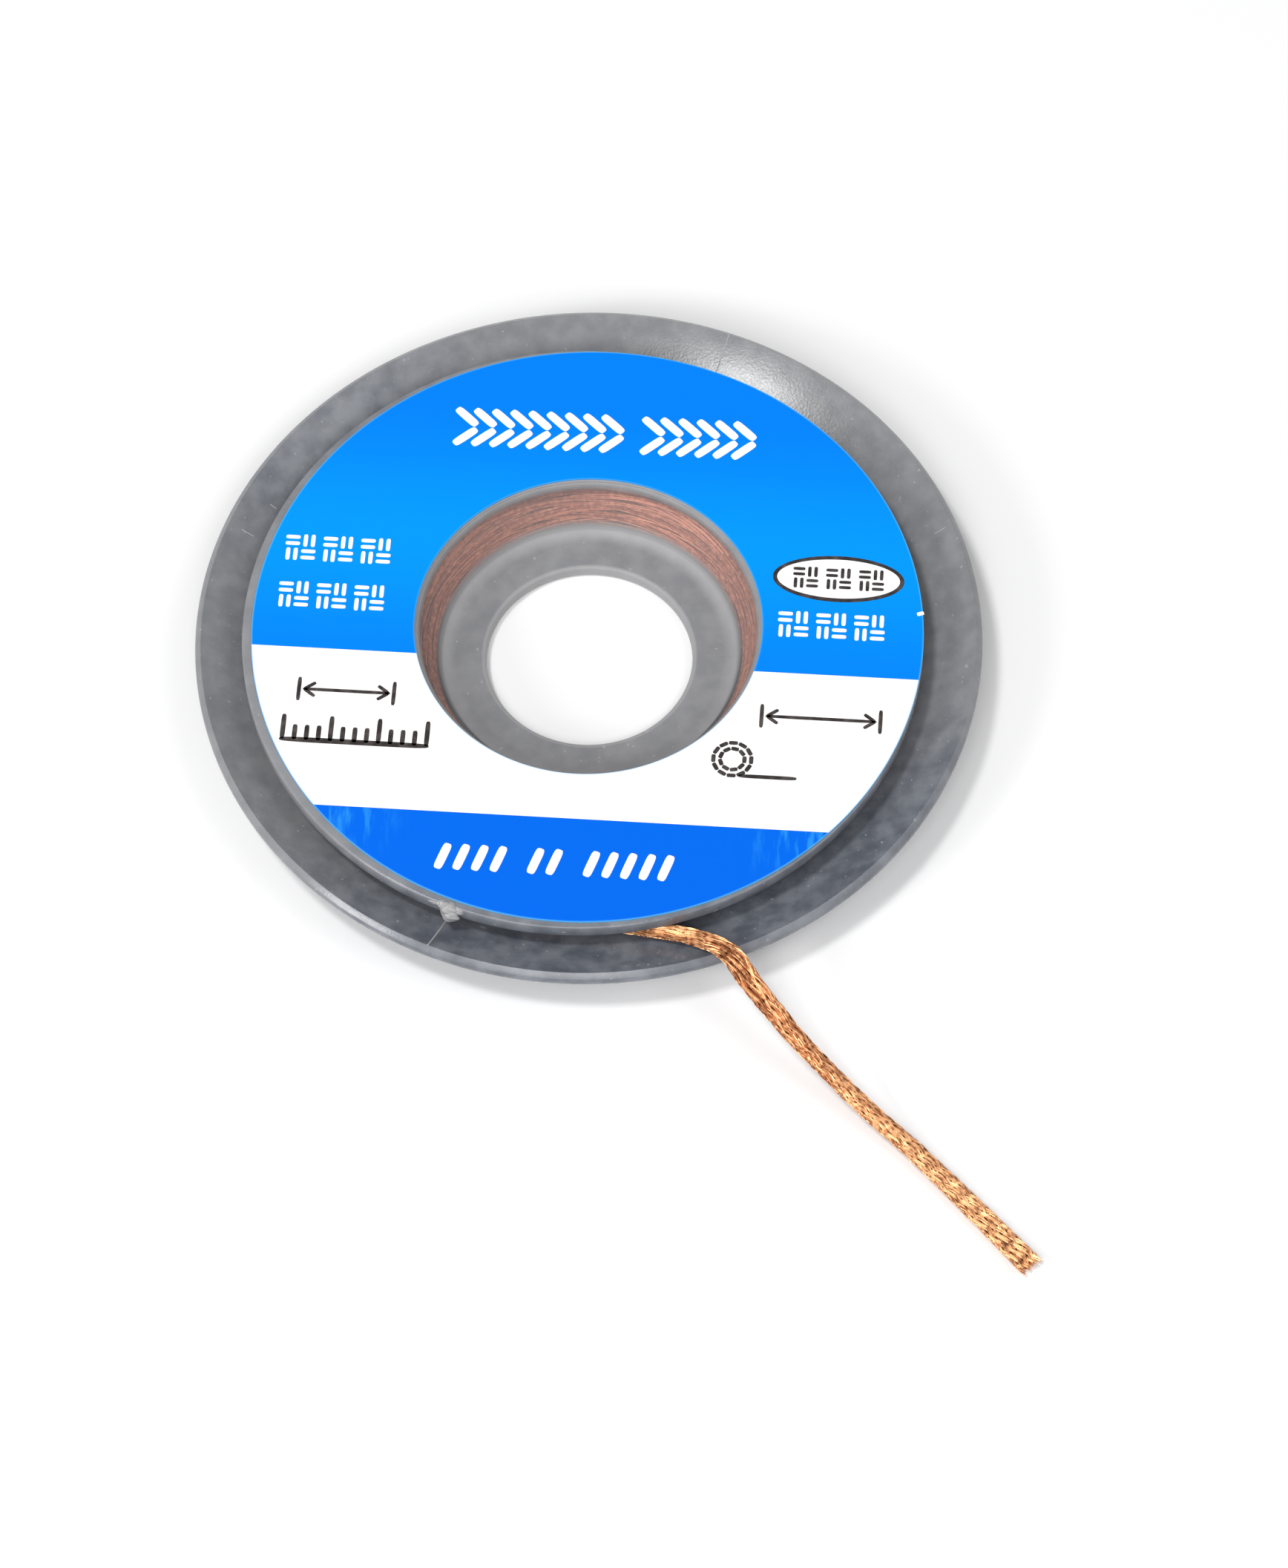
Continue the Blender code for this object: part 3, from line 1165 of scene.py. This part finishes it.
@dataclass
class Label:
    """The printed ring on the front flange. Sizes in millimetres, turned with its print."""

    paper: Finish = field(default_factory=PrintedPaper)
    white_ink: Finish = Ink("white_ink", rgba(0.95, 0.95, 0.95), rgba(0.86, 0.9, 0.95))
    dark_ink: Finish = Ink("dark_ink", rgba(0.035, 0.03, 0.03), rgba(0.09, 0.075, 0.07))
    turn: float = -5.2
    inner_radius: float = 12.13
    outer_radius: float = 23.41
    outer_shift: tuple[float, float] = (-0.07, -0.37)
    thickness: float = 0.1
    lift: float = 0.01
    ink_thickness: float = 0.012
    ink_sink: float = 0.004
    steps: int = 240

    def __post_init__(self) -> None:
        """Take the flange's height from the frame."""
        self.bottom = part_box("spool")[1].z / MM + self.lift
        self.top = self.bottom + self.thickness

    def build(self) -> None:
        """Build the paper ring and the print's marks."""
        layers = (
            ("label_ring", self._ring(), self.paper),
            ("label_marks_white", self.printed(self._white_marks()), self.white_ink),
            ("label_marks_dark", self.printed(self._dark_marks()), self.dark_ink),
        )
        pieces = [
            make_piece(name, surface, finish.material())
            for name, surface, finish in layers
        ]
        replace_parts(pieces[0], "label")

    def _ring(self) -> Surface:
        """Shape the paper ring.

        A row runs over the top from the inner to the outer circle and back below. Each point
        lies between the two circles, whose middles differ a little, by the row's share.

        Returns:
            The ring in metres.
        """
        inset = 0.0035
        share = np.array([0.0, inset, 3 * inset, 0.5, 1.0 - 3 * inset, 1.0 - inset, 1.0, 1.0, 0.0])
        drop = np.array([0.03, 0.0, 0.0, 0.0, 0.0, 0.0, 0.03, 1.0, 1.0])
        rim = np.array([0.6, 0.3, 0.0, 0.0, 0.0, 0.5, 1.0, 1.0, 0.6])
        angles = np.linspace(0.0, math.tau, self.steps, endpoint=False)[:, None]
        radius = self.inner_radius + share * (self.outer_radius - self.inner_radius)
        x = radius * np.cos(angles) + share * self.outer_shift[0]
        y = radius * np.sin(angles) + share * self.outer_shift[1]
        z = np.broadcast_to(self.top - drop * self.thickness, x.shape)
        points = np.stack([x, y, z], -1).reshape(-1, 3) * MM
        faces = grid_faces(self.steps, len(share), True, True)
        return Surface(points, [faces], {"rim": np.tile(rim, self.steps)})

    def printed(self, marks: list[Array]) -> Surface:
        """Return flat marks laid on the paper.

        Args:
            marks: Outlines in the print's own axes, each with the same number of points.

        Returns:
            Low prisms on those outlines, turned with the print.
        """
        turn = math.radians(self.turn)
        outlines = np.stack(marks)
        x = outlines[..., 0] * math.cos(turn) - outlines[..., 1] * math.sin(turn)
        y = outlines[..., 0] * math.sin(turn) + outlines[..., 1] * math.cos(turn)
        count, sides = x.shape
        low = np.stack([x, y, np.full_like(x, self.top - self.ink_sink)], -1)
        high = np.stack([x, y, np.full_like(x, self.top + self.ink_thickness)], -1)
        points = np.concatenate([low.reshape(-1, 3), high.reshape(-1, 3)]) * MM
        base = np.arange(count * sides).reshape(count, sides)
        roof = base + count * sides
        beside = np.roll(base, -1, axis=1)
        walls = np.stack([base, beside, beside + count * sides, roof], -1).reshape(-1, 4)
        return Surface(points, [base[:, ::-1], roof, walls])

    def _white_marks(self) -> list[Array]:
        """Draw the plait heading, the white tile rows and the foot line's slanted bars.

        Returns:
            The marks' outlines.
        """
        marks = chevrons(-9.9, 16.0, 9, 1.3, 3.1)
        marks += chevrons(3.4, 16.0, 6, 1.3, 3.1)
        marks.append(bar((23.05, 2.3), 0.5, 0.3, 20.0))
        marks += tile_row((-18.0, 5.1), 2.65, 2.3)
        marks += tile_row((-18.1, 1.2), 2.65, 2.3)
        marks += tile_row((16.9, 0.9), 2.65, 2.3)
        for i in (0, 1, 2, 3, 5, 6, 8, 9, 10, 11, 12):
            marks.append(bar((-8.5 + 1.27 * i, -19.2), 2.1, 0.62, 72.0))
        return marks

    def _dark_marks(self) -> list[Array]:
        """Draw the size arrows, the tick scale and the coil sign on the white band.

        Returns:
            The marks' outlines.
        """
        marks = span_arrow((-16.3, -6.5), 6.6, 1.9)
        marks += scale_ticks((-15.4, -9.6), 10.4, 13)
        marks += span_arrow((16.6, -6.7), 8.2, 1.9)
        marks += coil((10.7, -10.3), 2.6, 2)
        return marks


@dataclass
class Badge:
    """The oval sign on the label: a dark oval, a white one on it and three dark tiles."""

    label: Label
    centre: tuple[float, float] = (17.2, 4.8)
    length: float = 9.2
    height: float = 3.8
    outline: float = 0.3

    def build(self) -> None:
        """Build the sign's three layers, each a little above the one below."""
        label = self.label
        layers = (
            ("badge_outline", [self._oval(0.0)], label.dark_ink),
            ("badge_field", [self._oval(self.outline)], label.white_ink),
            ("badge_tiles", tile_row(self.centre, 2.3, 1.9), label.dark_ink),
        )
        for level, (name, marks, finish) in enumerate(layers):
            surface = label.printed(marks)
            surface.points[:, 2] += level * label.ink_thickness * MM
            make_piece(name, surface, finish.material())

    def _oval(self, inset: float) -> Array:
        """Draw an oval, its half sizes times the cosine and sine of the angle.

        Args:
            inset: How far it lies inside the sign's own outline.

        Returns:
            Its outline.
        """
        turns = np.linspace(0.0, math.tau, 96, endpoint=False)
        x = (0.5 * self.length - inset) * np.cos(turns)
        y = (0.5 * self.height - inset) * np.sin(turns)
        return np.stack([self.centre[0] + x, self.centre[1] + y], 1)


# Braid


@dataclass
class Path:
    """A line that a braid follows, with the braid's width and face directions along it."""

    points: Array
    width_axis: Array

    def __post_init__(self) -> None:
        """Work out the distance along the line and square the directions to it."""
        steps = np.linalg.norm(np.diff(self.points, axis=0), axis=1)
        self.distance = np.concatenate([[0.0], np.cumsum(steps)])
        along = np.gradient(self.points, axis=0)
        self.along = along / np.linalg.norm(along, axis=1, keepdims=True)
        across = self.width_axis - (self.width_axis * self.along).sum(1, keepdims=True) * self.along
        self.across = across / np.linalg.norm(across, axis=1, keepdims=True)
        self.face = np.cross(self.along, self.across)

    @property
    def length(self) -> float:
        """Return the line's length."""
        return float(self.distance[-1])

    def at(self, distance: Array, values: Array) -> Array:
        """Return values of the line's points at other distances along it."""
        return np.stack([np.interp(distance, self.distance, values[:, k]) for k in range(3)], -1)


@dataclass(frozen=True)
class FlatBraid:
    """A round braid pressed flat. Sizes in metres.

    Bundles of wires run round a flat oval in both directions and pass over and under each
    other. At a distance s, a bundle's place round the oval is phase = direction * w * s plus
    its own share of a turn. Its place across the width is the half width times a rounded
    triangle wave of the phase, and its height is the half thickness times a rounded square
    wave. Each bundle goes over one other and under the next: the weave lifts the bundles of
    one direction and sinks the others by the cosine of n * w * s, where n is the number of
    bundles. Each wire's own delay, drift and tone vary a little by chance.
    """

    width: float = 1.66 * MM
    thickness: float = 0.48 * MM
    bundles: int = 8
    wires: int = 4
    wire_radius: float = 0.046 * MM
    edge_pitch: float = 1.49 * MM
    weave: float = 0.04 * MM
    spread: float = 0.7
    step: float = 0.24 * MM
    sides: int = 5
    wander: float = 0.02
    drift: float = 0.015
    drift_length: float = 2.1 * MM
    delay: float = 0.7
    uneven: float = 0.014 * MM
    lift_shade: float = 0.06
    tone_scatter: float = 0.26

    def surface(
        self,
        path: Path,
        ragged: float = 0.0,
        seed: int = 1,
        knots: Sequence[Sequence[float]] = ((0.0, 1.0, 1.0, 0.36),),
    ) -> Surface:
        """Return all the wires along a path.

        Args:
            path: The line to follow.
            ragged: How far the wires' far ends differ.
            seed: Seed for the small differences between wires.
            knots: Distances along the line in metres, each with a share of the width, a
                share of the turn rate and the tone that the braid has there. Pulled tight, it
                is narrow and its bundles run almost straight.

        Returns:
            The wires as one surface.
        """
        chance = np.random.default_rng(seed)
        direction, bundle, wire = np.meshgrid(
            [-1.0, 1.0], np.arange(self.bundles), np.arange(self.wires), indexing="ij"
        )
        direction, bundle, wire = (part.reshape(-1, 1) for part in (direction, bundle, wire))
        each = (len(direction), 1)
        count = max(8, int(path.length / self.step))
        ends = path.length - ragged * chance.random(each)
        distance = np.linspace(0.0, 1.0, count)[None, :] * ends
        omega = math.tau / (self.bundles * self.edge_pitch)
        offset = (wire - 0.5 * (self.wires - 1)) / self.wires * self.spread / self.bundles
        wander = self.wander * chance.standard_normal(each) / self.bundles
        drift = self.drift * np.sin(distance / self.drift_length + math.tau * chance.random(each))
        knots = np.asarray(knots)
        rate = np.interp(path.distance, knots[:, 0], knots[:, 2])
        gains = 0.5 * (rate[1:] + rate[:-1]) * np.diff(path.distance)
        so_far = np.concatenate([[0.0], np.cumsum(gains)])
        revolved = np.interp(distance, path.distance, so_far - so_far[-1] + path.length)
        phase = direction * omega * revolved + math.tau * (bundle / self.bundles + offset + wander)
        phase = phase + drift
        share = np.interp(distance, knots[:, 0], knots[:, 1])
        half = share * 0.5 * self.width - self.wire_radius - self.weave
        deep = 0.5 * self.thickness - self.wire_radius - self.weave
        across = half * np.arcsin(0.97 * np.cos(phase)) / math.asin(0.97)
        height = deep * np.sin(phase) / np.sqrt(np.sin(phase) ** 2 + 0.04) * math.sqrt(1.04)
        delay = self.delay * chance.standard_normal(each)
        lift = self.weave * direction * np.cos(self.bundles * omega * revolved + delay)
        lift = lift + self.uneven * chance.standard_normal(each)
        normal = np.stack([across / half**2, height / deep**2], -1)
        normal /= np.linalg.norm(normal, axis=-1, keepdims=True)
        across = across + lift * normal[..., 0]
        height = height + lift * normal[..., 1]
        middle = path.at(distance, path.points)
        width_axis = path.at(distance, path.across)
        face = path.at(distance, path.face)
        centres = middle + across[..., None] * width_axis + height[..., None] * face
        outward = normal[..., :1] * width_axis + normal[..., 1:] * face
        tone = np.interp(distance, knots[:, 0], knots[:, 3])
        # Painted shade: wires that sink under others are darker and lifted ones a little brighter.
        tone = tone + self.lift_shade * lift / self.weave
        tone = tone + self.tone_scatter * chance.standard_normal(each)
        return tubes(centres, outward, self.wire_radius, self.sides, np.clip(tone, 0.0, 1.0))


@dataclass
class Winding:
    """The braid wound on the hub: a flat spiral. Sizes in millimetres.

    Turns lie up to wander from the middle height, and the outermost less by the share calm.
    In the last leaving_turn of a turn the braid runs out to end_radius.
    """

    spool: Spool
    copper: Finish = BareCopper(
        "wound_copper", rgba(0.5, 0.14, 0.07), rgba(0.92, 0.38, 0.22), metallic=0.35
    )
    outer_radius: float = 18.5
    end_radius: float = 19.75
    end_angle: float = -129.5
    turns: float = 15.8
    middle_height: float = 2.6
    width: float = 1.75
    thickness: float = 0.42
    inner_lean: float = 24.0
    wander: float = 0.6
    calm: float = 0.25
    leaving_turn: float = 0.17
    hub_gap: float = 0.05
    inner_turns: float = 2.0
    outer_turns: float = 1.0
    fine_step: float = 0.3
    band_step: float = 1.2

    def path(self, first: float, last: float, step: float) -> Path:
        """Return a stretch of the spiral.

        The first turn hugs the hub, and then the radius grows evenly with the angle. In the last
        sixth of a turn it grows faster, to where the loose end leaves. One turn lies low in the
        channel and the next one high, a little less so further out. The width axis leans with the
        hub's wall on the inner turn and stands upright on the outer one.

        Args:
            first: First turn of the stretch, from 0 at the hub.
            last: Last turn of the stretch.
            step: Distance between points.

        Returns:
            The path in metres.
        """
        count = int((last - first) * math.tau * self.outer_radius / step)
        turn = np.linspace(first, last, count)
        angle = math.radians(self.end_angle) - math.tau * (self.turns - turn)
        hub = float(self.spool.hub_radius(self.middle_height))
        inner = hub + 0.5 * self.thickness + self.hub_gap
        climb = np.maximum(0.0, turn - 1.0) / (self.turns - 1.0)
        radius = inner + (self.outer_radius - inner) * climb
        left = turn - (self.turns - self.leaving_turn)
        leaving = np.clip(left / self.leaving_turn, 0.0, 1.0) ** 2
        radius = radius + leaving * (self.end_radius - self.outer_radius)
        lean = np.radians(self.inner_lean) * (1.0 - turn / self.turns)
        wander = self.wander * (1.0 - self.calm * turn / self.turns)
        height = self.middle_height - wander * np.tanh(9.0 * np.sin(math.pi * turn))
        radius = radius + (height - self.middle_height) * np.tan(lean)
        radial = np.stack([np.cos(angle), np.sin(angle), np.zeros_like(angle)], 1)
        upright = np.array([0.0, 0.0, 1.0])
        points = radius[:, None] * radial + height[:, None] * upright
        width_axis = np.sin(lean)[:, None] * radial + np.cos(lean)[:, None] * upright
        return Path(points * MM, width_axis)

    def build(self) -> None:
        """Build the inner and outer turns as braid and the turns between as a flat band."""
        braid = FlatBraid(
            width=self.width * MM,
            thickness=self.thickness * MM,
            bundles=4,
            wires=5,
            wire_radius=0.06 * MM,
            edge_pitch=13.0 * MM,
            weave=0.04 * MM,
            step=0.34 * MM,
            sides=4,
        )
        last = self.turns - self.outer_turns
        inner = braid.surface(self.path(0.0, self.inner_turns, self.fine_step), seed=3)
        outer = braid.surface(self.path(last, self.turns, self.fine_step), seed=4)
        middle = self._band(self.path(self.inner_turns, last, self.band_step))
        material = self.copper.material()
        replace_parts(make_piece("winding_inner_turns", inner, material), "winding")
        make_piece("winding_outer_turn", outer, material)
        make_piece("winding_middle_turns", middle, material)

    def _band(self, path: Path) -> Surface:
        """Return a flat band along a path.

        Its section is a superellipse whose thickness swells and dips along the band with the
        braid's own pitch.

        Args:
            path: The line to follow.

        Returns:
            The band, closed at both ends.
        """
        sides = 14
        angles = np.linspace(0.0, math.tau, sides, endpoint=False)[None, :]
        swell = 1.0 + 0.08 * np.sin(path.distance / FlatBraid.edge_pitch * math.tau)[:, None]
        across = 0.5 * self.width * MM * rounded(np.cos(angles), 0.5) * np.ones_like(swell)
        height = 0.46 * self.thickness * MM * rounded(np.sin(angles), 0.6) * swell
        points = (
            path.points[:, None, :]
            + across[..., None] * path.across[:, None, :]
            + height[..., None] * path.face[:, None, :]
        )
        count = len(path.points)
        start = np.arange(sides)[None, :]
        end = start[:, ::-1] + (count - 1) * sides
        tone = 0.35 + 0.2 * np.sin(3.0 * angles + 40.0 * path.distance[:, None] / MM)
        faces = [grid_faces(count, sides, False, True), start, end]
        return Surface(points.reshape(-1, 3), faces, {"tone": tone.ravel()})


# The loose braid's route in millimetres: out of the channel, over the rim and down
TAIL_ROUTE = (
    (-12.6, -15.6, 2.40),
    (-8.0, -19.1, 2.55),
    (-3.0, -21.9, 2.85),
    (0.6, -23.2, 3.10),
    (3.8, -24.0, 3.28),
    (5.6, -24.4, 3.65),
    (7.4, -25.1, 4.15),
    (9.0, -26.2, 4.55),
    (10.1, -27.7, 4.40),
    (11.2, -29.1, 3.85),
    (13.4, -31.7, 2.75),
    (15.8, -34.2, 1.85),
    (18.3, -36.7, 1.10),
    (20.9, -39.2, 0.65),
    (24.6, -43.4, 0.46),
    (28.6, -48.2, 0.46),
)


@dataclass
class LooseEnd:
    """The loose flat braid, out of the channel, over the rim and down to the bench."""

    copper: Finish = BareCopper("tail_copper")
    braid: FlatBraid = FlatBraid()
    route: Sequence[Sequence[float]] = TAIL_ROUTE
    roll_knots: tuple[tuple[float, float], ...] = (
        (0.0, 85.0),
        (10.0, 80.0),
        (14.5, 30.0),
        (18.0, 6.0),
        (26.0, -6.0),
        (34.0, -24.0),
        (44.0, -22.0),
        (56.0, -8.0),
    )
    shape_knots: tuple[tuple[float, float, float, float], ...] = (
        (0.0, 0.85, 0.8, 0.66),
        (14.0, 0.64, 0.7, 0.66),
        (18.0, 0.64, 0.7, 0.66),
        (22.0, 0.78, 0.7, 0.58),
        (25.5, 1.02, 0.7, 0.34),
        (30.0, 0.96, 0.75, 0.26),
        (35.0, 0.95, 0.95, 0.36),
        (41.0, 0.98, 1.0, 0.62),
        (48.0, 1.04, 1.0, 0.76),
        (55.0, 1.12, 1.0, 0.76),
    )
    tuck_knots: tuple[tuple[float, float], ...] = (
        (0.0, 0.0),
        (8.0, 0.45),
        (19.0, 0.5),
        (23.0, 0.2),
        (27.0, 0.0),
    )

    def line(self) -> Array:
        """Draw a Catmull-Rom curve through the route's knots.

        Between two knots the point is the usual cubic of the share t with the knots before
        and after, for 24 even shares.

        Returns:
            Fine points of the route in metres.
        """
        knots = np.asarray(self.route) * MM
        ends = np.vstack([2.0 * knots[0] - knots[1], knots, 2.0 * knots[-1] - knots[-2]])
        before, start, end, after = (ends[i : len(ends) - 3 + i, None, :] for i in range(4))
        t = np.linspace(0.0, 1.0, 24, endpoint=False)[None, :, None]
        curve = 0.5 * (
            2.0 * start
            + (end - before) * t
            + (2.0 * before - 5.0 * start + 4.0 * end - after) * t**2
            + (3.0 * start - before - 3.0 * end + after) * t**3
        )
        return np.vstack([curve.reshape(-1, 3), knots[-1:]])

    def path(self) -> Path:
        """Lay the braid on its route, rolled about the line by the knots.

        Returns:
            The path with the braid's width axis.
        """
        points = self.line()
        along = np.gradient(points, axis=0)
        along /= np.linalg.norm(along, axis=1, keepdims=True)
        level = np.cross(np.array([0.0, 0.0, 1.0]), along)
        level /= np.linalg.norm(level, axis=1, keepdims=True)
        upright = np.cross(along, level)
        steps = np.linalg.norm(np.diff(points, axis=0), axis=1)
        distance = np.concatenate([[0.0], np.cumsum(steps)]) / MM
        roll_knots = np.asarray(self.roll_knots)
        roll = np.radians(np.interp(distance, roll_knots[:, 0], roll_knots[:, 1]))[:, None]
        tuck_knots = np.asarray(self.tuck_knots)
        tuck = np.interp(distance, tuck_knots[:, 0], tuck_knots[:, 1])[:, None] * MM
        return Path(points + tuck * level, np.cos(roll) * level + np.sin(roll) * upright)

    def build(self) -> None:
        path = self.path()
        knots = np.asarray(self.shape_knots) * (MM, 1.0, 1.0, 1.0)
        surface = self.braid.surface(path, ragged=0.55 * MM, seed=7, knots=knots)
        tail = make_piece("braid_loose_end", surface, self.copper.material())
        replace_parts(tail, "braid_tail")


# Studio


@dataclass(frozen=True)
class PhotoCamera:
    """The camera that took the photograph, in the reel's frame."""

    focal_pixels: float = 8000.0
    image_height: float = 2114.0
    elevation: float = 59.404
    roll: float = -1.367
    shift_right: float = 3.823
    shift_up: float = -8.536
    distance: float = 417.83
    sensor: float = 36.0

    def build(self) -> None:
        """Build the camera from its elevation, its roll and its distance."""
        data = bpy.data.cameras.new("photo_camera")
        data.sensor_fit = "VERTICAL"
        data.sensor_height = self.sensor
        data.lens = self.focal_pixels / self.image_height * self.sensor
        data.clip_start = 0.01
        data.clip_end = 20.0
        up_angle = math.radians(self.elevation)
        back = Vector((0.0, -math.cos(up_angle), math.sin(up_angle)))
        side = Vector((1.0, 0.0, 0.0))
        above = back.cross(side)
        roll = math.radians(self.roll)
        right = math.cos(roll) * side + math.sin(roll) * above
        up = math.cos(roll) * above - math.sin(roll) * side
        place = (self.shift_right * right + self.shift_up * up + self.distance * back) * MM
        camera = bpy.data.objects.new("photo_camera", data)
        camera.matrix_world = Matrix.Translation(place) @ Matrix((right, up, back)).transposed().to_4x4()
        bpy.context.scene.collection.objects.link(camera)
        bpy.context.scene.camera = camera


@dataclass(frozen=True)
class SoftBox:
    """A square soft light that faces the reel."""

    name: str
    azimuth: float
    elevation: float
    distance: float
    size: float
    power: float

    def build(self) -> None:
        """Build the light at its place round the reel."""
        data = bpy.data.lights.new(self.name, "AREA")
        data.size = self.size
        data.energy = self.power
        turn = math.radians(self.azimuth)
        lift = math.radians(self.elevation)
        spot = self.distance * Vector(
            (math.sin(turn) * math.cos(lift), -math.cos(turn) * math.cos(lift), math.sin(lift))
        )
        light = bpy.data.objects.new(self.name, data)
        light.location = spot
        light.rotation_euler = spot.to_track_quat("Z", "Y").to_euler()
        bpy.context.scene.collection.objects.link(light)


@dataclass
class Studio:
    """The pale floor, the soft lights and the even surroundings."""

    floor: Finish = field(default_factory=PaleFloor)
    lights: Sequence[SoftBox] = (
        SoftBox("front_light", -8.0, 47.0, 0.9, 0.44, 3.3),
        SoftBox("top_light", -82.0, 71.5, 0.8, 0.13, 2.3),
        SoftBox("right_light", 75.0, 50.0, 0.9, 0.5, 1.6),
        SoftBox("side_light", -58.0, 29.0, 0.9, 0.2, 2.3),
    )
    sky: tuple[float, ...] = rgba(1.0, 1.0, 1.0)
    sky_strength: float = 0.3
    floor_half: float = 3.0
    floor_drop: float = 0.02 * MM

    def build(self) -> None:
        """Build the floor, the lights and the surroundings."""
        half = self.floor_half
        low = -self.floor_drop
        mesh = bpy.data.meshes.new("floor")
        points = [(-half, -half, low), (half, -half, low), (half, half, low), (-half, half, low)]
        mesh.from_pydata(points, [], [(0, 1, 2, 3)])
        mesh.materials.append(self.floor.material())
        floor = bpy.data.objects.new("floor", mesh)
        bpy.context.scene.collection.objects.link(floor)
        for light in self.lights:
            light.build()
        world = bpy.data.worlds.new("surroundings")
        world.use_nodes = True
        background = world.node_tree.nodes["Background"]
        background.inputs["Color"].default_value = self.sky
        background.inputs["Strength"].default_value = self.sky_strength
        bpy.context.scene.world = world
        bpy.context.scene.view_settings.view_transform = "Standard"


def main() -> None:
    """Build the camera, the reel and the studio, and report each piece."""
    logging.basicConfig(level=logging.INFO, format="%(message)s")
    PhotoCamera().build()
    LooseEnd().build()
    spool = Spool()
    spool.build()
    Winding(spool).build()
    label = Label()
    label.build()
    Badge(label).build()
    Studio().build()


if __name__ == "__main__":
    main()
